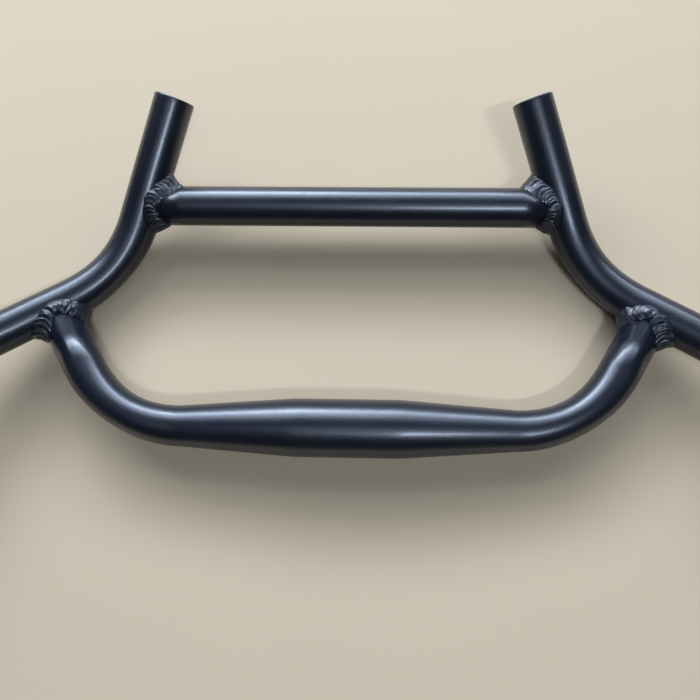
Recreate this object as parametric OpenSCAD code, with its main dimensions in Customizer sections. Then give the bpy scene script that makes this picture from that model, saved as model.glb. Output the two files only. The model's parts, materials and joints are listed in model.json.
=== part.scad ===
// Braced handlebar for touring and gravel bikes, with two horns and two swept grips.
// It lies right side up on a flat surface, as it would come to rest: +X is the
// rider's right, +Y runs forward to the horns and +Z is up. The origin is the
// middle of the stem clamp zone. All lengths are in millimetres.

/* [Stem clamp] */
// Diameter of the zone that the stem grips
clamp_d = 31.8; // [28.6:0.1:35]
// Length of that zone, before the bar starts to narrow
clamp_len = 50; // [36:1:60]

/* [Tubes] */
// Outer diameter of the arms, side tubes and brace
tube_d = 22.2; // [21.6:0.1:23.8]
// Wall thickness of the side tubes and the brace
tube_wall = 2.2; // [1.6:0.1:3]
// Wall thickness of the centre bar
bar_wall = 2.6; // [2:0.1:3.4]
// Rounding of the cut ends
end_round = 0.8; // [0.3:0.1:1.2]

/* [Centre bar] */
// Distance from the middle to the corner where the bar turns forward
corner_x = 128.5; // [118:0.5:140]
// Angle through which the bar turns forward
arm_turn = 59.3; // [52:0.1:66]
// Arm length, from that corner to the side tube's centre line
arm_len = 77.3; // [74:0.1:90]
// Radius of the bend, on the centre line
bar_bend_r = 65; // [56:1:70]
// Length along the bar at which it has narrowed to tube size
taper_end = 96; // [80:1:100]
// How far the bend is flattened in its own plane
bar_flat = 0.08; // [0:0.01:0.1]

/* [Side tubes] */
// Backward sweep of the grip
sweep = 34.1; // [30:0.1:38]
// Upward slope of the grip as the bar lies
grip_rise = 13.3; // [12:0.1:15]
// Distance from the arm to the side tube's corner
corner_to_arm = 42.4; // [41:0.1:46]
// Grip length, from the arm to the open end
grip_len = 250; // [180:1:270]
// How far the horn turns in towards the middle
horn_in = 20.6; // [17:0.1:24]
// Upward slope of the horn as the bar lies
horn_rise = 20; // [19:0.1:22]
// Horn length, from the corner to the open end
horn_len = 103.6; // [85:0.1:130]
// How far the bend is flattened in its own plane
side_flat = 0.06; // [0:0.01:0.08]

/* [Brace] */
// Distance along the horn from the corner to the brace
corner_to_brace = 41.4; // [40:0.1:46]

/* [Weld beads] */
// Width of a brace bead, from toe to toe
brace_bead = 8.2; // [6:0.1:9]
// Width of an arm bead, from toe to toe
arm_bead = 8.8; // [6:0.1:9]
// How far the middle of a brace bead stands off the corner that it fills
brace_bead_off = 1.9; // [1:0.1:2.4]
// How far the middle of an arm bead stands off the corner that it fills
arm_bead_off = 1.1; // [1:0.1:2.4]
// Crown of a brace bead above the flat between its toes
brace_bead_crown = 1.2; // [0.6:0.1:1.8]
// Crown of an arm bead above the flat between its toes
arm_bead_crown = 1.7; // [0.6:0.1:2]
// Step between two ripples of a bead
ripple_pitch = 2.1; // [1.9:0.05:3]
// Height of one ripple
ripple_h = 0.45; // [0:0.05:0.6]

/* [Hidden] */
$fn = 64;
satin_black = [0.085, 0.088, 0.098];

clamp_r = clamp_d / 2;
tube_r = tube_d / 2;
X = [1, 0, 0];
// Facets around a bend, and around its hollow inside
sides = 32;
sides_in = 18;
// Degrees of bend in one step
bend_step = 4.6;
bend_step_in = 10;
// A bend's facets start just inside the round tube that they meet
tuck = 1.5;
tuck_r = 0.02;
// A coped end's thin tips are cut off under the bead, this far from the side tube's centre line
function ear_trim(off, face) = sqrt(pow(tube_r + off, 2) - pow(tube_r, 2)) - 0.15 * face;
// Fit-up gap that the coped ends leave to the side tube
fit_up = 0.05;
// Clearance under a bead, so that its flat facets do not cut into the round tubes
bead_clear = 0.1;

function unit(v) = v / norm(v);
function bulge(r, q) = r * (1 + 0.6 * q);

// A tube's bend: at corner v it turns from direction a to direction b, both leading away from v.
// [centre, radial direction at its start, turn, distance from v to its ends, plane normal]
function bend_of(v, a, b, r) =
    let (turn = 180 - acos(a * b), reach = r * tan(turn / 2), mid = unit(a + b),
         c = v + mid * (r / cos(turn / 2)), u = unit(v + a * reach - c))
    [c, u, turn, reach, unit(cross(u, -a))];
// Radial direction at angle f along the bend
function radial(bend, a, f) = bend[1] * cos(f) - a * sin(f);
function flat_at(f, turn, flat) = flat * pow(sin(180 * f / turn), 2);

// One ring of points: centre, in-plane direction and half width, normal and half height
function ring(c, e, a, n, b, count) =
    [for (i = [0 : count - 1]) let (t = 360 * i / count) c + e * a * cos(t) + n * b * sin(t)];

// Centre line points of the right side
arm_joint = [corner_x + arm_len * cos(arm_turn), arm_len * sin(arm_turn), 0];
bar_corner = [corner_x, 0, 0];
arm_dir = unit(arm_joint - bar_corner);
grip_dir = [cos(grip_rise) * cos(sweep), -cos(grip_rise) * sin(sweep), sin(grip_rise)];
horn_dir = [-cos(horn_rise) * sin(horn_in), cos(horn_rise) * cos(horn_in), sin(horn_rise)];
side_corner = arm_joint - grip_dir * corner_to_arm;
brace_joint = side_corner + horn_dir * corner_to_brace;

// The side bend's radius makes the bend touch the surface that the clamp zone lies on
unit_bend = bend_of([0, 0, 0], horn_dir, grip_dir, 1);
low_f = atan2(horn_dir[2], -unit_bend[1][2]);
low_q = flat_at(low_f, unit_bend[2], side_flat);
low_reach = norm([tube_r * (1 - low_q) * norm([unit_bend[4][0], unit_bend[4][1]]),
                  bulge(tube_r, low_q) * unit_bend[4][2]]);
unit_drop = unit_bend[0][2] + radial(unit_bend, horn_dir, low_f)[2];
side_bend_r = (low_reach - clamp_r - side_corner[2]) / unit_drop;

side_bend = bend_of(side_corner, horn_dir, grip_dir, side_bend_r);
bar_bend = bend_of(bar_corner, -X, arm_dir, bar_bend_r);
bar_bend_s = corner_x - bar_bend[3];

// How far a bead reaches along the side tube from its joint, for tubes that meet at an angle of cosine c
function toe_reach(c, face, off) =
    (tube_r * (1 + c) + off * c) / sqrt(1 - c * c) + face / sqrt(2 - 2 * c);
// Past the beads, from these distances to the side tube's corner, its surface is a plain round tube
past_toe = 1.1;
horn_zone = corner_to_brace + toe_reach(-X * horn_dir, brace_bead, brace_bead_off) + past_toe;
grip_zone = corner_to_arm + toe_reach(-arm_dir * grip_dir, arm_bead, arm_bead_off) + past_toe;

// Narrowing of the centre bar: straight, with its two ends eased in
ease = 0.1;
function eased(t) = t <= 0 ? 0 : t >= 1 ? 1 :
    (t < ease ? t * t / (2 * ease) : t > 1 - ease ? 1 - ease - pow(1 - t, 2) / (2 * ease) : t - ease / 2)
    / (1 - ease);
function bar_r(s) = clamp_r - (clamp_r - tube_r)
    * eased((s - clamp_len / 2) / (taper_end - clamp_len / 2));

// Closed skin over a row of rings, with flat ends
module skin(rings) {
    m = len(rings);
    k = len(rings[0]);
    polyhedron(
        points = [for (r = rings) each r],
        faces = concat(
            [for (j = [1 : k - 2]) each [[0, j + 1, j], [(m - 1) * k, (m - 1) * k + j, (m - 1) * k + j + 1]]],
            [for (i = [0 : m - 2], j = [0 : k - 1]) let (a = i * k, b = a + k, n = (j + 1) % k)
                each [[a + j, b + n, b + j], [a + j, a + n, b + n]]]),
        convexity = 8);
}

// Closed skin over rings that run round to the first one again
module loop_skin(rings) {
    m = len(rings);
    k = len(rings[0]);
    polyhedron(
        points = [for (r = rings) each r],
        faces = [for (i = [0 : m - 1], j = [0 : k - 1])
            let (a = i * k, b = ((i + 1) % m) * k, n = (j + 1) % k)
            each [[a + j, b + j, b + n], [a + j, b + n, a + n]]],
        convexity = 8);
}

// Puts +Z of its child along d, starting at p
module along(p, d) {
    z = unit(d);
    x = unit(abs(z[2]) < 0.9 ? cross([0, 0, 1], z) : cross([0, 1, 0], z));
    y = cross(z, x);
    multmatrix([[x[0], y[0], z[0], p[0]], [x[1], y[1], z[1], p[1]], [x[2], y[2], z[2], p[2]], [0, 0, 0, 1]])
        children();
}

// Round bar whose far end has a rounded edge
module bar_with_end(r, length) {
    rotate_extrude()
        polygon(concat([[0, 0], [r, 0]],
            [for (t = [0 : 30 : 90]) [r - end_round * (1 - cos(t)), length - end_round * (1 - sin(t))]],
            [[0, length]]));
}

// Faceted bend of a side tube, from the horn zone to the grip zone
module side_bend_skin(inset, flat, count, step, horn_to, grip_to) {
    r = tube_r - inset;
    turn = side_bend[2];
    n = side_bend[4];
    e0 = radial(side_bend, horn_dir, 0);
    e1 = radial(side_bend, horn_dir, turn);
    steps = ceil(turn / step);
    skin(concat(
        [ring(side_corner + horn_dir * (horn_to + tuck), e0, r - 5 * tuck_r, n, r - 5 * tuck_r, count),
         ring(side_corner + horn_dir * horn_to, e0, r - tuck_r, n, r - tuck_r, count)],
        [for (i = [0 : steps]) let (f = turn * i / steps, q = flat_at(f, turn, flat))
            ring(side_bend[0] + radial(side_bend, horn_dir, f) * side_bend_r,
                 radial(side_bend, horn_dir, f), r * (1 - q) - tuck_r / 2, n, bulge(r, q) - tuck_r / 2, count)],
        [ring(side_corner + grip_dir * grip_to, e1, r - tuck_r, n, r - tuck_r, count),
         ring(side_corner + grip_dir * (grip_to + tuck), e1, r - 5 * tuck_r, n, r - 5 * tuck_r, count)]));
}

// Side tube: horn, bend and grip in one bent tube, open at both ends
module side_tube() {
    bore_r = tube_r - tube_wall;
    color(satin_black) difference() {
        union() {
            side_bend_skin(0, side_flat, sides, bend_step, horn_zone, grip_zone);
            along(side_corner + horn_dir * horn_zone, horn_dir) bar_with_end(tube_r, horn_len - horn_zone);
            along(side_corner + grip_dir * grip_zone, grip_dir)
                bar_with_end(tube_r, corner_to_arm + grip_len - grip_zone);
        }
        side_bend_skin(tube_wall, side_flat, sides_in, bend_step_in, side_bend[3] + 2, side_bend[3] + 2);
        along(side_corner + horn_dir * (side_bend[3] + 2), horn_dir) cylinder(r = bore_r, h = horn_len);
        along(side_corner + grip_dir * (side_bend[3] + 2), grip_dir)
            cylinder(r = bore_r, h = grip_len + corner_to_arm);
    }
}

// Faceted narrowing and bend of the centre bar's right half
module bar_bend_skin(inset, count, step) {
    turn = bar_bend[2];
    n = bar_bend[4];
    e0 = radial(bar_bend, -X, 0);
    e1 = radial(bar_bend, -X, turn);
    s0 = clamp_len / 2;
    span = taper_end - s0;
    steps = ceil(turn / step);
    arm_at = bar_bend[3] + 3;
    r1 = tube_r - inset;
    skin(concat(
        [ring(X * (s0 - tuck), e0, clamp_r - inset - 5 * tuck_r, n, clamp_r - inset - 5 * tuck_r, count),
         ring(X * s0, e0, clamp_r - inset - tuck_r, n, clamp_r - inset - tuck_r, count)],
        [for (t = [ease / 2, ease, 1 - ease]) let (s = s0 + span * t, r = bar_r(s) - inset - tuck_r / 2)
            ring(X * s, e0, r, n, r, count)],
        [for (i = [0 : steps])
            let (f = turn * i / steps, q = flat_at(f, turn, bar_flat), e = radial(bar_bend, -X, f),
                 r = bar_r(bar_bend_s + bar_bend_r * f * PI / 180) - inset)
            ring(bar_bend[0] + e * bar_bend_r, e, r * (1 - q) - tuck_r / 2, n, bulge(r, q) - tuck_r / 2, count)],
        [ring(bar_corner + arm_dir * arm_at, e1, r1 - tuck_r, n, r1 - tuck_r, count),
         ring(bar_corner + arm_dir * (arm_at + tuck), e1, r1 - 5 * tuck_r, n, r1 - 5 * tuck_r, count)]));
}

// Right half of the centre bar as a solid, or of its hollow inside
module bar_half(inset, count, step) {
    arm_at = bar_bend[3] + 3;
    bar_bend_skin(inset, count, step);
    along(bar_corner + arm_dir * arm_at, arm_dir)
        cylinder(r = tube_r - inset, h = arm_len - ear_trim(arm_bead_off, arm_bead) - fit_up - arm_at);
}

module both_sides() {
    children();
    mirror([1, 0, 0]) children();
}

// Centre bar: clamp zone, two tapers, two bends, and two arms coped to the side tubes
module centre_bar() {
    color(satin_black) difference() {
        union() {
            rotate([0, 90, 0]) cylinder(r = clamp_r, h = clamp_len, center = true);
            both_sides() bar_half(0, sides, bend_step);
        }
        rotate([0, 90, 0]) cylinder(r = clamp_r - bar_wall, h = clamp_len, center = true);
        both_sides() bar_half(bar_wall, sides_in, bend_step_in);
        both_sides() along(side_corner, grip_dir)
            cylinder(r = tube_r + fit_up, h = corner_to_arm + 3 * tube_r);
    }
}

// Brace: plain tube, coped to both horns
module brace_tube() {
    long = 2 * (brace_joint[0] - ear_trim(brace_bead_off, brace_bead) - fit_up);
    color(satin_black) translate([0, brace_joint[1], brace_joint[2]]) difference() {
        rotate([0, 90, 0]) cylinder(r = tube_r, h = long, center = true);
        rotate([0, 90, 0]) cylinder(r = tube_r - tube_wall, h = long + 2, center = true);
        both_sides() along([brace_joint[0], 0, 0] - horn_dir * 2 * tube_r, horn_dir)
            cylinder(r = tube_r + fit_up, h = 4 * tube_r);
    }
}

// Closest point of the side tube's centre line to p
function side_axis_at(p) =
    let (h = (p - side_corner) * horn_dir, g = (p - side_corner) * grip_dir)
    h > side_bend[3] && h > g ? side_corner + horn_dir * h :
    g > side_bend[3] ? side_corner + grip_dir * g :
    let (q = p - side_bend[0], flat = q - side_bend[4] * (q * side_bend[4]))
    side_bend[0] + unit(flat) * side_bend_r;
// p moved onto the side tube, and onto a straight tube through o along u
function on_side(p) = let (c = side_axis_at(p)) c + unit(p - c) * (tube_r + bead_clear);
function on_branch(p, o, u) =
    let (c = o + u * ((p - o) * u)) c + unit(p - c) * (tube_r + bead_clear);

// A branch tube leaves the side tube's point o along u, and the side tube runs along d there.
// Distance from o at which the branch, at angle t round it, is rs from the side tube's centre line
function saddle_x(u, d, t, rs) =
    (tube_r * (u * d) * cos(t) + sqrt(pow(rs, 2) - pow(tube_r * sin(t), 2))) / norm(cross(u, d));
function round_branch(o, u, d, t, x, r) =
    let (e1 = unit(d - u * (u * d))) o + u * x + e1 * r * cos(t) + cross(u, e1) * r * sin(t);
// The middle of the bead, and the corner under it
function weld_path(o, u, d, t, off) = round_branch(o, u, d, t, saddle_x(u, d, t, tube_r + off), tube_r);
function weld_root(o, u, d, t, trim) = round_branch(o, u, d, t,
    max(trim, saddle_x(u, d, t, tube_r + fit_up) + fit_up), tube_r + bead_clear);

// Weld bead, laid as overlapping ripples along the path. Its face has the same width all round,
// so its two legs grow where the tubes meet in a tighter corner.
module weld_bead(o, u, d, face, off, crown) {
    trim = ear_trim(off, face);
    fine = 180;
    pts = [for (i = [0 : fine]) weld_path(o, u, d, 360 * i / fine, off)];
    run = [for (i = 0, s = 0; i <= fine; s = s + (i < fine ? norm(pts[i + 1] - pts[i]) : 0), i = i + 1) s];
    table = [for (i = [0 : fine]) [run[i], 360 * i / fine]];
    count = round(run[fine] / ripple_pitch);
    pitch = run[fine] / count;
    // Angle round the branch, path point, direction of travel, and the two surfaces' normals
    function turn_at(k) = lookup((k - count * floor(k / count)) * pitch, table);
    function frame_at(k) =
        let (t = turn_at(k), p = weld_path(o, u, d, t, off))
        [p, unit(weld_path(o, u, d, t + 1, off) - weld_path(o, u, d, t - 1, off)),
         unit(p - o - u * ((p - o) * u)), unit(p - side_axis_at(p)), t];
    function leg(f) = face / sqrt(2 + 2 * f[2] * f[3]);
    // Toes of the bead on the branch and on the side tube
    function branch_toe(f) = on_branch(f[0] + unit(cross(f[2], f[1])) * leg(f), o, u);
    function side_toe(f) = on_side(f[0] + unit(cross(f[1], f[3])) * leg(f));
    // Point of the bead's face: v runs from the toe on the branch to the toe on the side tube. The face
    // stands proud where it lies flat over the tubes, and turns hollow in the tightest corner.
    function face_at(k, v, lift) =
        let (arch = 4 * v * (1 - v), f = frame_at(k + 0.5 * arch))
        branch_toe(f) * (1 - v) + side_toe(f) * v
        + unit(f[2] + f[3]) * (crown * arch * (1.5 * f[2] * f[3] - 0.3) + lift * sqrt(arch));
    rings = [for (i = [0 : count - 1], at = [[0, 0], [0.7, 1]])
        let (k = i + at[0], f = frame_at(k), lift = ripple_h * at[1],
             toe = branch_toe(f), foot = side_toe(f), root = weld_root(o, u, d, f[4], trim))
        concat([toe], [for (v = [0.2, 0.5, 0.8]) face_at(k, v, lift)],
               [foot, on_side(foot * 0.65 + root * 0.35), on_side(foot * 0.3 + root * 0.7),
                root, on_branch(root * 0.5 + toe * 0.5, o, u)])];
    color(satin_black) loop_skin(rings);
}

module brace_weld() {
    weld_bead(brace_joint, -X, horn_dir, brace_bead, brace_bead_off, brace_bead_crown);
}
module arm_weld() {
    weld_bead(arm_joint, -arm_dir, grip_dir, arm_bead, arm_bead_off, arm_bead_crown);
}

centre_bar();
mirror([1, 0, 0]) side_tube();  // left_side_tube
side_tube();  // right_side_tube
brace_tube();
mirror([1, 0, 0]) brace_weld();  // left_brace_weld
brace_weld();  // right_brace_weld
mirror([1, 0, 0]) arm_weld();  // left_arm_weld
arm_weld();  // right_arm_weld
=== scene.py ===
# %% [markdown]
# # A braced handlebar with horns
#
# The object is a welded bicycle handlebar in satin black: a thick clamp zone, two arms, two bent
# side tubes that end in forward horns, and a brace between the horns. Every joint carries a weld
# bead that was laid as a row of overlapping ripples. This lesson draws each tube from its centre
# line, lays the ripples with a small rule, and paints everything with one satin finish.

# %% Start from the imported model
import bisect
import collections
import json
import math
import random

import bpy
from mathutils import Matrix, Vector


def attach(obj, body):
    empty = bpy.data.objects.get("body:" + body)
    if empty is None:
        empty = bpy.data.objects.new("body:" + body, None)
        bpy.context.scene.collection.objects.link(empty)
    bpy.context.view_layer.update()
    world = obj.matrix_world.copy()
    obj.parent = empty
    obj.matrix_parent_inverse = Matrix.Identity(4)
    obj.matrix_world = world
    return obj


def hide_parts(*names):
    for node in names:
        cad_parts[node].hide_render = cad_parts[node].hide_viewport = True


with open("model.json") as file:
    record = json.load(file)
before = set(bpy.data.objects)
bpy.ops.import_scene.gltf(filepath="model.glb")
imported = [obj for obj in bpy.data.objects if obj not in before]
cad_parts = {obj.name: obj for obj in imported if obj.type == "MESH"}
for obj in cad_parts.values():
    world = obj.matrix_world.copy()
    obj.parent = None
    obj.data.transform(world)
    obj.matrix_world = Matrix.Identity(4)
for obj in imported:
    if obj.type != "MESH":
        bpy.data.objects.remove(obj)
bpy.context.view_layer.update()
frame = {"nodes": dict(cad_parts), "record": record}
print("nodes:", sorted(frame["nodes"]))

# %% [markdown]
# ## Sizes
#
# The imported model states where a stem, levers and grips are clamped. Each of those places gives a
# straight stretch of tube: a point, a direction and a radius. The corner of a side tube is where
# its grip line and its horn line cross, so most of the bar follows from those few mounts. What the
# mounts don't say, such as the bends, is named here in millimetres.

# %% Read the straight stretches from the mounts
MM = 0.001
MIRROR = Matrix.Scale(-1, 4, (1, 0, 0))
mounts = {m["name"]: m for m in frame["record"]["mounts"]}


def mount_line(name):
    return Vector(mounts[name]["pos_m"]), Vector(mounts[name]["axis"]).normalized()


clamp_r = mounts["stem_clamp"]["dims"]["r_mm"] * MM
clamp_len = mounts["stem_clamp"]["dims"]["length_mm"] * MM
tube_r = mounts["right_grip"]["dims"]["r_mm"] * MM
grip_point, grip_dir = mount_line("right_grip")
horn_point, horn_dir = mount_line("right_horn")
X = Vector((1, 0, 0))

tube_wall, bar_wall = 2.2 * MM, 2.6 * MM
end_round, bore_round = 0.8 * MM, 0.3 * MM
bar_bend_r, taper_end = 65 * MM, 96 * MM
bar_flat, side_flat = 0.08, 0.06  # how much a bend flattens its tube
corner_to_arm, corner_to_brace = 42.4 * MM, 41.4 * MM
arm_turn, arm_len = math.radians(59.3), 77.3 * MM  # from the clamp zone's line, and from its corner
fit_up = 0.05 * MM  # the gap at a coped end
brace_off, arm_off = 1.9 * MM, 1.1 * MM  # how far a bead's middle stands off the side tube
brace_bead, arm_bead = 8.2 * MM, 8.8 * MM  # how wide a bead's face is
brace_crown, arm_crown = 1.2 * MM, 1.7 * MM  # how proud it stands


def crossing(p, a, q, b):
    """Where the line through p along a meets the line through q along b."""
    normal = a.cross(b)
    return p + a * ((q - p).cross(b).dot(normal) / normal.length_squared)


side_corner = crossing(grip_point, grip_dir, horn_point, horn_dir)
arm_joint = side_corner + grip_dir * corner_to_arm
brace_joint = side_corner + horn_dir * corner_to_brace
arm_dir = Vector((math.cos(arm_turn), math.sin(arm_turn), 0))
bar_corner = arm_joint - arm_dir * arm_len
grip_end = (grip_point - side_corner).dot(grip_dir) + mounts["right_grip"]["dims"]["length_mm"] * MM / 2
horn_end = (horn_point - side_corner).dot(horn_dir) + mounts["right_horn"]["dims"]["length_mm"] * MM / 2
grip_end, horn_end = grip_end + end_round, horn_end + end_round
print(f"side corner {side_corner / MM}, arm joint {arm_joint / MM}, brace joint {brace_joint / MM}")

# %% [markdown]
# ## Bends
#
# A tube is bent round a die, so its centre line turns on a circle, and the tube flattens a little
# in the plane of the bend. One small class holds such a bend: its centre, the direction from there
# to its start, its turn, and how far its ends lie from the corner. The side bends rest on the
# ground like the clamp zone does, and their radius follows from that, so it is solved here and not
# typed in.

# %% Describe a bend
SMALLEST_BEND, LARGEST_BEND = 40 * MM, 140 * MM
HALVINGS = 40


class Bend:
    """A tube that comes in along -a to its corner, and leaves along b."""

    SWELL = 0.6  # how much the tube widens across the bend, as a share of how much it flattens
    LOOKS = 400  # places along the bend where its height is taken

    def __init__(self, corner, a, b, radius, flat):
        self.a, self.radius, self.flat = a, radius, flat
        self.turn = math.pi - a.angle(b)
        self.reach = radius * math.tan(self.turn / 2)
        self.centre = corner + (a + b).normalized() * radius / math.cos(self.turn / 2)
        self.start = (corner + a * self.reach - self.centre).normalized()
        self.normal = self.start.cross(-a).normalized()

    def outward(self, f):
        return self.start * math.cos(f) - self.a * math.sin(f)

    def half_widths(self, f, r):
        """Half widths of a tube of radius r, in the plane of the bend and across it."""
        flatness = self.flat * math.sin(math.pi * f / self.turn) ** 2
        return r * (1 - flatness), r * (1 + self.SWELL * flatness)

    def lowest(self, r):
        """Height of the lowest point of a tube of radius r that follows the bend."""
        low = math.inf
        for i in range(self.LOOKS + 1):
            f = self.turn * i / self.LOOKS
            out, (in_plane, across) = self.outward(f), self.half_widths(f, r)
            reach = math.hypot(in_plane * out.z, across * self.normal.z)
            low = min(low, self.centre.z + out.z * self.radius - reach)
        return low


def resting_bend(corner, a, b, flat, floor):
    """The bend whose lowest point lies on the floor, found by halving a range of radii."""
    small, large = SMALLEST_BEND, LARGEST_BEND
    for _ in range(HALVINGS):
        middle = (small + large) / 2
        if Bend(corner, a, b, middle, flat).lowest(tube_r) < floor:
            small = middle
        else:
            large = middle
    return Bend(corner, a, b, middle, flat)


side_bend = resting_bend(side_corner, horn_dir, grip_dir, side_flat, -clamp_r)
bar_bend = Bend(bar_corner, -X, arm_dir, bar_bend_r, bar_flat)
print(f"side bend radius {side_bend.radius / MM:.1f} mm, turn {math.degrees(side_bend.turn):.1f} degrees")

# %% [markdown]
# ## Formulas as nodes
#
# Geometry and shader trees do arithmetic with Math nodes, and a formula of ten terms is hard to
# read as ten calls. The class below wraps one output socket, so that `a * 2 + b` adds the nodes.
# Every other node comes from `Graph.node`, which takes its settings first and then its inputs.

# %% Wrap sockets so that sums read as sums


class Term:
    """One output socket of a tree."""

    def __init__(self, graph, socket):
        self.graph, self.socket = graph, socket

    def __add__(self, other):
        return self.graph.math("ADD", self, other)

    def __sub__(self, other):
        return self.graph.math("SUBTRACT", self, other)

    def __rsub__(self, other):
        return self.graph.math("SUBTRACT", other, self)

    def __mul__(self, other):
        return self.graph.math("MULTIPLY", self, other)

    def __truediv__(self, other):
        return self.graph.math("DIVIDE", self, other)

    def __pow__(self, other):
        return self.graph.math("POWER", self, other)

    __radd__ = __add__


class Graph:
    """A node tree that is written as formulas."""

    def __init__(self, tree):
        self.tree = tree

    def node(self, kind, settings=None, outlet=0, **inputs):
        made = self.tree.nodes.new(kind)
        for name, value in (settings or {}).items():
            setattr(made, name, value)
        for name, value in inputs.items():
            self.feed(made.inputs[name.replace("_", " ")], value)
        return Term(self, made.outputs[outlet])

    def feed(self, socket, value):
        if isinstance(value, Term):
            self.tree.links.new(value.socket, socket)
        else:
            socket.default_value = value

    def math(self, operation, *values):
        made = self.tree.nodes.new("ShaderNodeMath")
        made.operation = operation
        for socket, value in zip(made.inputs, values):
            self.feed(socket, value)
        return Term(self, made.outputs[0])

    def vector(self, operation, *values, outlet="Vector"):
        made = self.tree.nodes.new("ShaderNodeVectorMath")
        made.operation = operation
        for socket, value in zip(made.inputs, values):
            self.feed(socket, value)
        return Term(self, made.outputs[outlet])

    def scaled(self, direction, length):
        made = self.tree.nodes.new("ShaderNodeVectorMath")
        made.operation = "SCALE"
        self.feed(made.inputs["Vector"], direction)
        self.feed(made.inputs["Scale"], length)
        return Term(self, made.outputs["Vector"])

    def blend(self, factor, low, high):
        """A colour from low, at factor 0, to high, at factor 1."""
        made = self.tree.nodes.new("ShaderNodeMix")
        made.data_type = "RGBA"
        for label, value in (("Factor_Float", factor), ("A_Color", (*low, 1)), ("B_Color", (*high, 1))):
            self.feed(next(i for i in made.inputs if i.identifier == label), value)
        return Term(self, next(o for o in made.outputs if o.identifier == "Result_Color"))

    def surface(self, shader):
        self.feed(self.tree.nodes.new("ShaderNodeOutputMaterial").inputs["Surface"], shader)

    def ranged(self, value, low, high, to_low, to_high):
        return self.node("ShaderNodeMapRange", {"interpolation_type": "SMOOTHSTEP"}, Value=value,
                         From_Min=low, From_Max=high, To_Min=to_low, To_Max=to_high)


# %% [markdown]
# Geometry trees need a little more: named inputs, and attributes that the script stored on the
# points. A finished modifier is turned into a plain mesh straight away, and its normals are checked
# by the sign of the volume that they enclose.

# %% Add what geometry trees need
HELPERS = ("centre", "across", "up", "half_width", "half_height", "leave", "mate", "cope", "turn",
           "phase", "arch", "lean")


class Shaper(Graph):
    """A geometry tree with named inputs."""

    SOCKETS = {"float": "NodeSocketFloat", "int": "NodeSocketInt", "material": "NodeSocketMaterial"}

    def __init__(self, name, **inputs):
        super().__init__(bpy.data.node_groups.new(name, "GeometryNodeTree"))
        face = self.tree.interface
        face.new_socket("Geometry", in_out="INPUT", socket_type="NodeSocketGeometry")
        face.new_socket("Geometry", in_out="OUTPUT", socket_type="NodeSocketGeometry")
        self.named = {label.replace("_", " "): face.new_socket(
            label.replace("_", " "), in_out="INPUT", socket_type=self.SOCKETS[kind])
            for label, kind in inputs.items()}
        self.entry = self.tree.nodes.new("NodeGroupInput")
        self.exit = self.tree.nodes.new("NodeGroupOutput")

    def given(self, label):
        return Term(self, self.entry.outputs[label])

    def attribute(self, name, kind="FLOAT"):
        return self.node("GeometryNodeInputNamedAttribute", {"data_type": kind}, Name=name)

    def chance(self, which, seed):
        """A number from 0 to 1 that is the same for all points with the same which."""
        random_value = self.tree.nodes.new("FunctionNodeRandomValue")
        random_value.data_type = "FLOAT"
        for label, value in (("ID", which), ("Seed", seed)):
            self.feed(next(i for i in random_value.inputs if i.name == label and i.enabled), value)
        return Term(self, next(o for o in random_value.outputs if o.enabled))

    def finish(self, geometry):
        smooth = self.node("GeometryNodeSetShadeSmooth", Geometry=geometry)
        plain = self.node("GeometryNodeRealizeInstances", Geometry=smooth)
        painted = self.node("GeometryNodeSetMaterial", Geometry=plain, Material=self.given("Material"))
        self.feed(self.exit.inputs["Geometry"], painted)

    def apply(self, source, name, **values):
        """Runs the tree on a mesh, and gives the result as a new object with a plain mesh."""
        holder = bpy.data.objects.new(name + "_source", source)
        bpy.context.scene.collection.objects.link(holder)
        modifier = holder.modifiers.new(name, "NODES")
        modifier.node_group = self.tree
        for label, value in values.items():
            modifier[self.named[label.replace("_", " ")].identifier] = value
        seen = holder.evaluated_get(bpy.context.evaluated_depsgraph_get())
        mesh = bpy.data.meshes.new_from_object(seen)
        bpy.data.objects.remove(holder)
        return solid_object(name, mesh)


def enclosed_volume(mesh):
    mesh.calc_loop_triangles()
    corners = [v.co for v in mesh.vertices]
    return sum(corners[a].dot(corners[b].cross(corners[c])) for a, b, c in
               (t.vertices for t in mesh.loop_triangles)) / 6


def solid_object(name, mesh):
    """An object at the origin, with faces that point outwards and without the helper attributes."""
    if enclosed_volume(mesh) < 0:
        mesh.flip_normals()
    for label in HELPERS:
        if label in mesh.attributes:
            mesh.attributes.remove(mesh.attributes[label])
    made = bpy.data.objects.new(name, mesh)
    bpy.context.scene.collection.objects.link(made)
    print(f"{name}: {len(mesh.polygons)} faces, {enclosed_volume(mesh) / MM ** 3:.0f} mm3")
    return made


# %% [markdown]
# ## Satin paint
#
# Powder paint on a handlebar is almost black with a blue cast. It has two glosses at once: a soft
# base that spreads a window into a broad band, and a thin smoother skin that keeps a lamp narrow.
# The base colour only drifts slightly. The roughness drifts more, which breaks up the long
# highlights, and two scales of bump and a few dust nibs give the grain. All of it reads Object
# coordinates, so it stays on the part.

# %% Paint for tubes and for weld beads
BLACK, PALER_BLACK = (0.0032, 0.0047, 0.0098), (0.0058, 0.0076, 0.0140)
BLUE_SHEEN = (0.82, 0.86, 1.0, 1.0)


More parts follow.
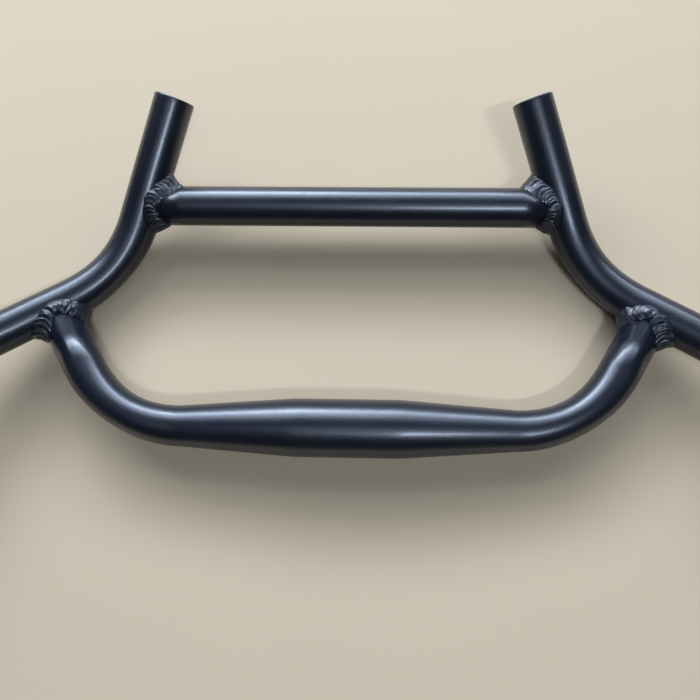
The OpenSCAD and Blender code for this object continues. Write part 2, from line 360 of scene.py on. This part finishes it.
def satin_paint(name, roughness, grain):
    made = bpy.data.materials.new(name)
    made.use_nodes = True
    g = Graph(made.node_tree)
    g.tree.nodes.clear()
    place = g.node("ShaderNodeTexCoord", outlet="Object")

    def noise(scale, detail=2.0, fineness=0.5):
        return g.node("ShaderNodeTexNoise", Vector=place, Scale=scale, Detail=detail, Roughness=fineness)

    cloud = noise(18.0)
    wear = g.ranged(noise(70.0, 4.0, 0.6), 0.45, 0.75, 0.0, 1.0)
    nibs = g.ranged(g.node("ShaderNodeTexVoronoi", outlet="Distance", Vector=place, Scale=420.0),
                    0.02, 0.14, 1.0, 0.0)
    rare = g.ranged(noise(95.0, 1.0), 0.6, 0.72, 0.0, 1.0)
    specks = nibs * rare
    colour = g.blend(cloud, BLACK, PALER_BLACK)
    rough = roughness + (cloud - 0.5) * 0.10 + wear * 0.05 - specks * 0.12
    height = noise(950.0, 2.0) * 0.5 + noise(420.0, 3.0, 0.6) * 0.35 + specks * 0.9
    bump = g.node("ShaderNodeBump", Strength=grain, Distance=0.0003, Height=height)
    g.surface(g.node("ShaderNodeBsdfPrincipled", Base_Color=colour, Roughness=rough, Normal=bump,
                     IOR=1.56, Specular_Tint=BLUE_SHEEN, Coat_Weight=0.35, Coat_Roughness=0.23))
    return made


tube_paint = satin_paint("satin_black_tube", 0.34, 0.45)
weld_paint = satin_paint("satin_black_weld", 0.42, 0.40)

# %% [markdown]
# ## Tubes from their centre lines
#
# A tube could be extruded, bent with a modifier, or skinned over rings. Here a tree skins it: the
# script lays a chain of points along the outside of the tube, over its rounded end, and back through
# the bore. Each point carries the centre of its ring, two directions and two half widths. The tree
# sweeps a circle along the chain and puts every point where those values say. Where a tube is coped,
# its last ring slides along the tube until it meets the tube that it is welded to. The thin tips
# that this leaves are ground off, so the slide has a shortest length too.

# %% Build the tube tree
tube_tree = Shaper("Coped tube", Sides="int", Mate_radius="float", Ear_trim="float", Material="material")
rail = tube_tree.node("GeometryNodeMeshToCurve", Mesh=tube_tree.given("Geometry"))
circle = tube_tree.node("GeometryNodeCurvePrimitiveCircle", {"mode": "RADIUS"},
                        Resolution=tube_tree.given("Sides"), Radius=1.0)
turned = tube_tree.node("GeometryNodeInputIndex") * (2 * math.pi) / tube_tree.given("Sides")
profile = tube_tree.node("GeometryNodeStoreNamedAttribute", {"data_type": "FLOAT", "domain": "POINT"},
                         Geometry=circle, Name="turn", Value=turned)
skin = tube_tree.node("GeometryNodeCurveToMesh", Curve=rail, Profile_Curve=profile)

turn = tube_tree.attribute("turn")
spoke = tube_tree.vector(
    "ADD",
    tube_tree.scaled(tube_tree.attribute("across", "FLOAT_VECTOR"),
                     tube_tree.attribute("half_width") * tube_tree.math("COSINE", turn)),
    tube_tree.scaled(tube_tree.attribute("up", "FLOAT_VECTOR"),
                     tube_tree.attribute("half_height") * tube_tree.math("SINE", turn)))
leave, mate = tube_tree.attribute("leave", "FLOAT_VECTOR"), tube_tree.attribute("mate", "FLOAT_VECTOR")
slant = tube_tree.vector("DOT_PRODUCT", leave, mate, outlet="Value")
side = tube_tree.vector("DOT_PRODUCT", spoke, mate, outlet="Value")
girth = tube_tree.vector("DOT_PRODUCT", spoke, spoke, outlet="Value")
square = 1 - slant * slant
inside = slant * slant * side * side - square * (girth - side * side - tube_tree.given("Mate radius") ** 2)
met = (slant * side + tube_tree.math("SQRT", tube_tree.math("MAXIMUM", inside, 0.0))) / square
slide = tube_tree.math("MAXIMUM", met, tube_tree.given("Ear trim"))
ring = tube_tree.vector("ADD", tube_tree.attribute("centre", "FLOAT_VECTOR"), spoke)
moved = tube_tree.vector("ADD", ring, tube_tree.scaled(leave, slide * tube_tree.attribute("cope")))
tube_tree.finish(tube_tree.node("GeometryNodeSetPosition", Geometry=skin, Position=moved))

# %% [markdown]
# The chain itself is a list of rings. A ring that isn't coped leaves its last two values alone.

# %% Lay the rings of a tube
SIDES = 128
BEND_STEP = 1.0  # degrees from ring to ring
ROUND_STEPS = 6
RIM_LEN = 4 * end_round  # from an open end to the last plain ring
APART = 1e-5  # metres between the chain's points, which the tree puts elsewhere


def ring_at(centre, across, up, half_width, half_height=None, leave=None, mate=None):
    return {"centre": centre, "across": across, "up": up, "half_width": half_width,
            "half_height": half_width if half_height is None else half_height,
            "leave": leave or Vector((0, 0, 0)), "mate": mate or Vector((0, 0, 0)),
            "cope": 1.0 if mate else 0.0}


def mirrored(ring):
    return {name: MIRROR @ value if isinstance(value, Vector) else value for name, value in ring.items()}


def chain(name, rings):
    """A closed chain of points that carries the rings' values."""
    count = len(rings)
    mesh = bpy.data.meshes.new(name)
    steps = [r["centre"] + Vector((0, 0, APART * i)) for i, r in enumerate(rings)]
    mesh.from_pydata(steps, [(i, (i + 1) % count) for i in range(count)], [])
    for label in ("centre", "across", "up", "leave", "mate"):
        values = mesh.attributes.new(label, "FLOAT_VECTOR", "POINT").data
        values.foreach_set("vector", [c for r in rings for c in r[label]])
    for label in ("half_width", "half_height", "cope"):
        mesh.attributes.new(label, "FLOAT", "POINT").data.foreach_set("value", [r[label] for r in rings])
    return mesh


def bend_rings(bend, radius_at, inset):
    """Rings from the bend's start to its end. Its tube has the radius radius_at(arc length)."""
    count = math.ceil(math.degrees(bend.turn) / BEND_STEP)
    rings = []
    for i in range(count + 1):
        f = bend.turn * i / count
        out = bend.outward(f)
        half_widths = bend.half_widths(f, radius_at(bend.radius * f) - inset)
        rings.append(ring_at(bend.centre + out * bend.radius, out, bend.normal, *half_widths))
    return rings


def end_rings(tip, direction, across, up, wall):
    """Rings over an open end: outer edge, face, inner edge."""
    rings = [ring_at(tip - direction * RIM_LEN, across, up, tube_r)]
    for i in range(ROUND_STEPS + 1):
        t = math.pi / 2 * i / ROUND_STEPS
        rings.append(ring_at(tip - direction * end_round * (1 - math.sin(t)), across, up,
                             tube_r - end_round * (1 - math.cos(t))))
    bore = tube_r - wall
    for i in range(ROUND_STEPS + 1):
        t = math.pi / 2 * i / ROUND_STEPS
        rings.append(ring_at(tip - direction * bore_round * (1 - math.cos(t)), across, up,
                             bore + bore_round * (1 - math.sin(t))))
    return rings + [ring_at(tip - direction * RIM_LEN, across, up, bore)]


# %% [markdown]
# ## Side tubes
#
# Each side tube is one bent tube: horn, bend and grip. Both ends are open, as on a bar that waits
# for its grips. The left one is the right one seen in a mirror.

# %% Make the side tubes
EAR_SHARE = 0.15  # how far a bead covers a ground tip, as a share of its width


def side_tube_rings():
    first, last = side_bend.outward(0), side_bend.outward(side_bend.turn)
    horn_tip, grip_tip = side_corner + horn_dir * horn_end, side_corner + grip_dir * grip_end
    outer = bend_rings(side_bend, lambda s: tube_r, 0.0)
    inner = bend_rings(side_bend, lambda s: tube_r, tube_wall)[::-1]
    grip_rim = end_rings(grip_tip, grip_dir, last, side_bend.normal, tube_wall)
    horn_rim = end_rings(horn_tip, horn_dir, first, side_bend.normal, tube_wall)[::-1]
    return outer + grip_rim + inner + horn_rim


def dress(name, piece):
    """The piece rides on the bar and stands for its node, whose imported mesh is hidden."""
    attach(piece, "root")
    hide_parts(name)


def ear_trim(off, width):
    """Where the thin tips of a coped end are ground off, under a bead of that stand-off and width."""
    return math.sqrt((tube_r + off) ** 2 - tube_r ** 2) - EAR_SHARE * width


def tube(name, rings, trim=0.0):
    made = tube_tree.apply(chain(name, rings), name + "_finished", Sides=SIDES, Material=tube_paint,
                           Mate_radius=tube_r + fit_up, Ear_trim=trim + fit_up)
    dress(name, made)


right_rings = side_tube_rings()
tube("right_side_tube", right_rings)
tube("left_side_tube", [mirrored(r) for r in right_rings])

# %% [markdown]
# ## Centre bar
#
# The middle of the bar is thick for the stem, narrows evenly to tube size, turns forward and meets
# the side tubes. The taper runs on into the bend. Its two ends are eased, as a swaged tube has no
# sharp line there. The two last rings, outside and inside, are coped to the side tube.

# %% Make the centre bar
EASE = 0.1  # the share of the taper over which each of its ends is eased
CLAMP_RINGS, TAPER_RINGS = 6, 40


def eased(t):
    """From 0 to 1 as t goes from 0 to 1, evenly but for its two ends."""
    if t <= 0 or t >= 1:
        return float(t >= 1)
    if t < EASE:
        part = t * t / (2 * EASE)
    elif t > 1 - EASE:
        part = 1 - EASE - (1 - t) ** 2 / (2 * EASE)
    else:
        part = t - EASE / 2
    return part / (1 - EASE)


def bar_radius(s):
    """Outer radius at the distance s from the middle, measured along the bar."""
    return clamp_r - (clamp_r - tube_r) * eased((s - clamp_len / 2) / (taper_end - clamp_len / 2))


def half_bar(inset):
    """Rings from the middle of the bar to its coped right end."""
    bend_s = bar_corner.x - bar_bend.reach
    first, last = bar_bend.outward(0), bar_bend.outward(bar_bend.turn)
    straight = [clamp_len / 2 * i / CLAMP_RINGS for i in range(CLAMP_RINGS)]
    straight += [clamp_len / 2 + (bend_s - clamp_len / 2) * i / TAPER_RINGS for i in range(TAPER_RINGS)]
    rings = [ring_at(X * s, first, bar_bend.normal, bar_radius(s) - inset) for s in straight]
    rings += bend_rings(bar_bend, lambda s: bar_radius(bend_s + s), inset)
    rings.append(ring_at(bar_corner + arm_dir * (bar_bend.reach + 2 * end_round), last,
                         bar_bend.normal, tube_r - inset))
    rings.append(ring_at(arm_joint, last, bar_bend.normal, tube_r - inset, leave=-arm_dir, mate=grip_dir))
    return rings


def both_halves(half):
    return [mirrored(r) for r in half[:0:-1]] + half


outer, inner = both_halves(half_bar(0.0)), both_halves(half_bar(bar_wall))
tube("centre_bar", outer + inner[::-1], ear_trim(arm_off, arm_bead))

# %% [markdown]
# ## Brace
#
# The brace is a plain straight tube, coped to both horns.

# %% Make the brace
BRACE_RINGS = 5


def half_brace(inset):
    middle = Vector((0, brace_joint.y, brace_joint.z))
    back, up = Vector((0, -1, 0)), Vector((0, 0, 1))
    rings = [ring_at(middle + X * brace_joint.x * share, back, up, tube_r - inset)
             for share in (i / BRACE_RINGS for i in range(BRACE_RINGS))]
    rings.append(ring_at(brace_joint, back, up, tube_r - inset, leave=-X, mate=horn_dir))
    return rings


outer, inner = both_halves(half_brace(0.0)), both_halves(half_brace(tube_wall))
tube("brace_tube", outer + inner[::-1], ear_trim(brace_off, brace_bead))

# %% [markdown]
# ## Weld beads
#
# A welder lays such a bead drop by drop, and each drop freezes as a crescent that overlaps the last
# one. The bead follows the line where the two tubes meet, and its feet widen where they meet in a
# tighter corner. The script lays a smooth skin over that line, with rows that already curve like
# the crescents. Each point of the skin knows how many drops it is along the seam. The tree then
# lifts it by a rule: up slowly over one drop and down at its edge, with every drop a little
# different. A seed keeps the four beads from being copies.

# %% Build the ripple tree
CREST = 0.78  # the place of the crest between a drop's start, 0, and its end, 1
SMALLEST_DROP, DROP_RANGE = 0.45, 0.9  # a drop's height, as a share of the ripple height
RISE_POWER, FALL_POWER = 0.9, 1.4
LUMP_SHIFT = 0.37  # metres between the noise of one bead and that of the next

ripple_tree = Shaper("Weld ripples", Ripple_height="float", Unevenness="float", Seed="int",
                     Material="material")
phase, arch = ripple_tree.attribute("phase"), ripple_tree.attribute("arch")
drop = ripple_tree.math("FLOOR", phase)
through = phase - drop
height = SMALLEST_DROP + ripple_tree.chance(drop, ripple_tree.given("Seed")) * DROP_RANGE
rise = ripple_tree.math("MINIMUM", through / CREST, 1.0) ** RISE_POWER
fall = 1 - ripple_tree.math("MAXIMUM", (through - CREST) / (1 - CREST), 0.0) ** FALL_POWER
place = ripple_tree.node("GeometryNodeInputPosition")
shifted = ripple_tree.vector("ADD", place, ripple_tree.node(
    "ShaderNodeCombineXYZ", X=ripple_tree.given("Seed") * LUMP_SHIFT))
lumps = ripple_tree.node("ShaderNodeTexNoise", Vector=shifted, Scale=260.0, Detail=2.5, Roughness=0.55)
lift = (rise * fall * height * ripple_tree.given("Ripple height")
        + (lumps - 0.5) * ripple_tree.given("Unevenness")) * ripple_tree.math("SQRT", arch)
ripple_tree.finish(ripple_tree.node(
    "GeometryNodeSetPosition", Geometry=ripple_tree.given("Geometry"),
    Offset=ripple_tree.scaled(ripple_tree.attribute("lean", "FLOAT_VECTOR"), lift)))

# %% [markdown]
# The smooth skin needs two surfaces under its feet: the straight branch tube, and the side tube
# with its bend. `side_axis_at` finds the closest point of the side tube's centre line.

# %% Find the seam and its two surfaces
BURIED = 0.1 * MM  # how far the skin's feet and underside lie inside the tubes


def side_axis_at(p):
    along_horn, along_grip = (p - side_corner).dot(horn_dir), (p - side_corner).dot(grip_dir)
    if along_horn > side_bend.reach and along_horn > along_grip:
        return side_corner + horn_dir * along_horn
    if along_grip > side_bend.reach:
        return side_corner + grip_dir * along_grip
    arm = p - side_bend.centre
    arm -= side_bend.normal * arm.dot(side_bend.normal)
    return side_bend.centre + arm.normalized() * side_bend.radius


class Seam:
    """The line where a branch, which leaves the side tube's point o along u, meets that tube.

    The side tube runs along d. The bead's middle stands off it, and the branch ends no closer to o
    than trim.
    """

    def __init__(self, o, u, d, stand_off, trim):
        self.o, self.u, self.d, self.stand_off, self.trim = o, u, d, stand_off, trim
        self.first = (d - u * u.dot(d)).normalized()
        self.second = u.cross(self.first)

    def on_branch_at(self, t, x, r):
        return self.o + self.u * x + (self.first * math.cos(t) + self.second * math.sin(t)) * r

    def reach(self, t, radius):
        """How far from o the branch's line at the turn t leaves a side tube of that radius."""
        return (tube_r * self.u.dot(self.d) * math.cos(t)
                + math.sqrt(radius ** 2 - (tube_r * math.sin(t)) ** 2)) / self.u.cross(self.d).length

    def path(self, t):
        return self.on_branch_at(t, self.reach(t, tube_r + self.stand_off), tube_r)

    def root(self, t):
        deep = max(self.trim, self.reach(t, tube_r + fit_up))
        return self.on_branch_at(t, deep, tube_r - BURIED)

    def on_branch(self, p):
        axis = self.o + self.u * (p - self.o).dot(self.u)
        return axis + (p - axis).normalized() * (tube_r - BURIED)

    def on_side(self, p):
        axis = side_axis_at(p)
        return axis + (p - axis).normalized() * (tube_r - BURIED)


# %% [markdown]
# The face of the bead keeps its width all round, so its two legs follow from the angle between the
# surfaces. The face stands proud on an open corner, and is hollow in a tight one.

# %% Lay the smooth skin of a bead
RIPPLE_PITCH, RIPPLE_HEIGHT, LUMP_HEIGHT = 2.1 * MM, 0.40 * MM, 1.1 * MM
RIPPLE_STEPS, FACE_STEPS, PATH_STEPS = 10, 18, 720
CRESCENT = 1.1  # how many drops the middle of a ripple runs ahead of its ends
UNEVEN_PITCH, UNEVEN_WIDTH, UNEVEN_CROWN = 0.32, 0.16, 0.35  # the most that a drop differs, as shares
OPEN_PROUD, TIGHT_HOLLOW = 1.5, 0.3  # how the face swells on an open corner, and sinks in a tight one
HIDDEN_SIDE, HIDDEN_BRANCH = (0.6, 0.25), -0.4  # where the underside's points lie, in legs
NUDGE = 0.01  # the turn over which the seam's direction is taken

Section = collections.namedtuple("Section", "turn point travel branch_out side_out leg lean")


def between(table, k):
    """The value of a closed table at the fractional place k."""
    i, share = math.floor(k), k - math.floor(k)
    share = share * share * (3 - 2 * share)
    return table[i % len(table)] * (1 - share) + table[(i + 1) % len(table)] * share


def bead_skin(name, seam, full_width, crown, mirror, seed):
    points = [seam.path(2 * math.pi * i / PATH_STEPS) for i in range(PATH_STEPS + 1)]
    run = [0.0]
    for a, b in zip(points, points[1:]):
        run.append(run[-1] + (b - a).length)
    count = round(run[-1] / RIPPLE_PITCH)
    hand = random.Random(seed)
    drops = [hand.uniform(1 - UNEVEN_PITCH, 1 + UNEVEN_PITCH) for _ in range(count)]
    starts = [sum(drops[:i]) / sum(drops) * run[-1] for i in range(count + 1)]
    widths = [hand.uniform(1 - UNEVEN_WIDTH, 1 + UNEVEN_WIDTH) for _ in range(count)]
    crowns = [hand.uniform(1 - UNEVEN_CROWN, 1 + UNEVEN_CROWN) for _ in range(count)]

    def angle_at(k):
        k = k % count
        i = math.floor(k)
        s = starts[i] + (starts[i + 1] - starts[i]) * (k - i)
        j = min(bisect.bisect_right(run, s) - 1, PATH_STEPS - 1)
        return 2 * math.pi * (j + (s - run[j]) / (run[j + 1] - run[j])) / PATH_STEPS

    def section_at(k):
        t, width = angle_at(k), full_width * between(widths, k)
        p = seam.path(t)
        travel = (seam.path(t + NUDGE) - seam.path(t - NUDGE)).normalized()
        branch_out = (p - seam.o - seam.u * (p - seam.o).dot(seam.u)).normalized()
        side_out = (p - side_axis_at(p)).normalized()
        leg = width / math.sqrt(2 + 2 * branch_out.dot(side_out))
        return Section(t, p, travel, branch_out, side_out, leg, (branch_out + side_out).normalized())

    def on_leg(at, share):
        """A place on the branch, for a share below 0, or else on the side tube."""
        if share < 0:
            return seam.on_branch(at.point - at.branch_out.cross(at.travel).normalized() * at.leg * share)
        return seam.on_side(at.point + at.travel.cross(at.side_out).normalized() * at.leg * share)

    spots, arches, leans = [], [], []
    rings = count * RIPPLE_STEPS
    for i in range(rings):
        k = i / RIPPLE_STEPS
        for j in range(FACE_STEPS + 1):
            v = j / FACE_STEPS
            rounded = 4 * v * (1 - v)
            at = section_at(k + CRESCENT * rounded)
            swell = OPEN_PROUD * at.branch_out.dot(at.side_out) - TIGHT_HOLLOW
            proud = crown * between(crowns, k) * rounded * swell
            spots.append(on_leg(at, -1) * (1 - v) + on_leg(at, 1) * v + at.lean * proud)
            arches.append(rounded)
            leans.append(at.lean)
        at = section_at(k)
        hidden = [on_leg(at, share) for share in HIDDEN_SIDE]
        hidden += [seam.root(at.turn), on_leg(at, HIDDEN_BRANCH)]
        spots += hidden
        arches += [0.0] * len(hidden)
        leans += [at.lean] * len(hidden)
    row = len(spots) // rings
    phases = [i / RIPPLE_STEPS for i in range(rings) for _ in range(row)]
    faces = [(a * row + j, a * row + (j + 1) % row, b * row + (j + 1) % row, b * row + j)
             for a in range(rings) for b in [(a + 1) % rings] for j in range(row)]
    turn_over = MIRROR if mirror else Matrix.Identity(4)
    mesh = bpy.data.meshes.new(name)
    mesh.from_pydata([turn_over @ p for p in spots], [], faces)
    mesh.attributes.new("phase", "FLOAT", "POINT").data.foreach_set("value", phases)
    mesh.attributes.new("arch", "FLOAT", "POINT").data.foreach_set("value", arches)
    mesh.attributes.new("lean", "FLOAT_VECTOR", "POINT").data.foreach_set(
        "vector", [c for lean in leans for c in turn_over @ lean])
    return mesh


# %% [markdown]
# The same two seams, right and left, make all four beads.

# %% Make the weld beads
FIRST_SEED = 3
brace_seam = Seam(brace_joint, -X, horn_dir, brace_off, ear_trim(brace_off, brace_bead))
arm_seam = Seam(arm_joint, -arm_dir, grip_dir, arm_off, ear_trim(arm_off, arm_bead))


def weld_bead(name, seam, width, crown, seed):
    skin_mesh = bead_skin(name, seam, width, crown, name.startswith("left"), seed)
    bead = ripple_tree.apply(skin_mesh, name + "_finished", Ripple_height=RIPPLE_HEIGHT,
                             Unevenness=LUMP_HEIGHT, Seed=seed, Material=weld_paint)
    dress(name, bead)


welds = {"brace_weld": (brace_seam, brace_bead, brace_crown), "arm_weld": (arm_seam, arm_bead, arm_crown)}
places = [(half, label) for label in welds for half in ("left", "right")]
for seed, (half, label) in enumerate(places, FIRST_SEED):
    weld_bead(f"{half}_{label}", *welds[label], seed)

# %% [markdown]
# ## Floor, light and camera
#
# The bar lies on a plain pale floor. Window light comes from the front in three rows of panels, and
# more of it from the left. The low row is the strongest: it throws the shadows back towards the
# rider. Together the rows draw one broad highlight along the brace, the clamp zone and the arms. A
# slim strip above the right side adds a second, thinner line, and a dim ceiling softens the horns.
# The camera looks steeply down from close by, so the bar fills the square picture and its grips run
# out of it.

# %% Lay the floor
FLOOR_HALF = 3.0
PALE, PALER = (0.490, 0.384, 0.268), (0.545, 0.428, 0.298)


def floor_finish():
    made = bpy.data.materials.new("pale_floor")
    made.use_nodes = True
    g = Graph(made.node_tree)
    g.tree.nodes.clear()
    place = g.node("ShaderNodeTexCoord", outlet="Object")
    drift = g.node("ShaderNodeTexNoise", Vector=place, Scale=2.5, Detail=3.0)
    colour = g.blend(drift, PALE, PALER)
    g.surface(g.node("ShaderNodeBsdfPrincipled", Base_Color=colour, Roughness=0.85))
    return made


floor_mesh = bpy.data.meshes.new("floor")
floor_mesh.from_pydata([(x * FLOOR_HALF, y * FLOOR_HALF, -clamp_r)
                        for x, y in ((-1, -1), (1, -1), (1, 1), (-1, 1))], [], [(0, 1, 2, 3)])
floor = bpy.data.objects.new("floor", floor_mesh)
bpy.context.scene.collection.objects.link(floor)
floor.data.materials.append(floor_finish())

# %% Set the lights
DAYLIGHT = (0.74, 0.86, 1.0)
WINDOW_DISTANCE, PANEL_LENGTH, PANEL_HEIGHT = 2.35, 0.98, 0.40
WINDOW_AIM, LAMP_AIM = Vector((0, 0.1, 0)), (0.10, 0.05, 0)
PANEL_WATTS = {-42: 15, -14: 26, 14: 15, 42: 6}  # by the angle aside, in degrees
ROW_SHARES = {25: 1.48, 35: 0.55, 49: 0.23}  # by the angle above the floor, in degrees


def soft_light(name, place, aim, length, width, watts):
    lamp = bpy.data.lights.new(name, "AREA")
    lamp.shape, lamp.size, lamp.size_y = "RECTANGLE", length, width
    lamp.energy, lamp.color = watts, DAYLIGHT
    made = bpy.data.objects.new(name, lamp)
    bpy.context.scene.collection.objects.link(made)
    made.location = place
    made.rotation_mode = "QUATERNION"
    made.rotation_quaternion = (Vector(aim) - Vector(place)).to_track_quat("-Z", "Y")


for rise, share in ROW_SHARES.items():
    up, level = math.sin(math.radians(rise)), math.cos(math.radians(rise))
    for aside, watts in PANEL_WATTS.items():
        across, ahead = math.sin(math.radians(aside)), math.cos(math.radians(aside))
        panel_place = WINDOW_AIM + Vector((level * across, level * ahead, up)) * WINDOW_DISTANCE
        soft_light(f"window_{rise}_{aside}", panel_place, WINDOW_AIM, PANEL_LENGTH, PANEL_HEIGHT,
                   watts * share)
soft_light("strip", (0.50, -0.86, 2.03), LAMP_AIM, 0.45, 0.06, 17)
soft_light("ceiling", (0.15, -0.45, 2.20), LAMP_AIM, 1.8, 1.1, 6)

world = bpy.data.worlds.new("studio")
world.use_nodes = True
sky = world.node_tree.nodes["Background"].inputs
sky["Color"].default_value = (0.80, 0.88, 1.0, 1)
sky["Strength"].default_value = 0.04
bpy.context.scene.world = world
bpy.context.scene.view_settings.view_transform = "Standard"

# %% Place the camera
camera_place, camera_aim = Vector((0.0109, -0.0243, 0.3550)), Vector((0.0006, 0.0434, 0))
camera_roll = math.radians(-7.78)
camera_data = bpy.data.cameras.new("camera")
camera_data.sensor_width, camera_data.lens = 36.0, 33.43
camera_data.clip_start = 0.01
camera = bpy.data.objects.new("camera", camera_data)
bpy.context.scene.collection.objects.link(camera)
camera.location = camera_place
camera.rotation_mode = "QUATERNION"
camera.rotation_quaternion = ((camera_aim - camera_place).to_track_quat("-Z", "Y")
                              @ Matrix.Rotation(camera_roll, 4, "Z").to_quaternion())
bpy.context.scene.camera = camera
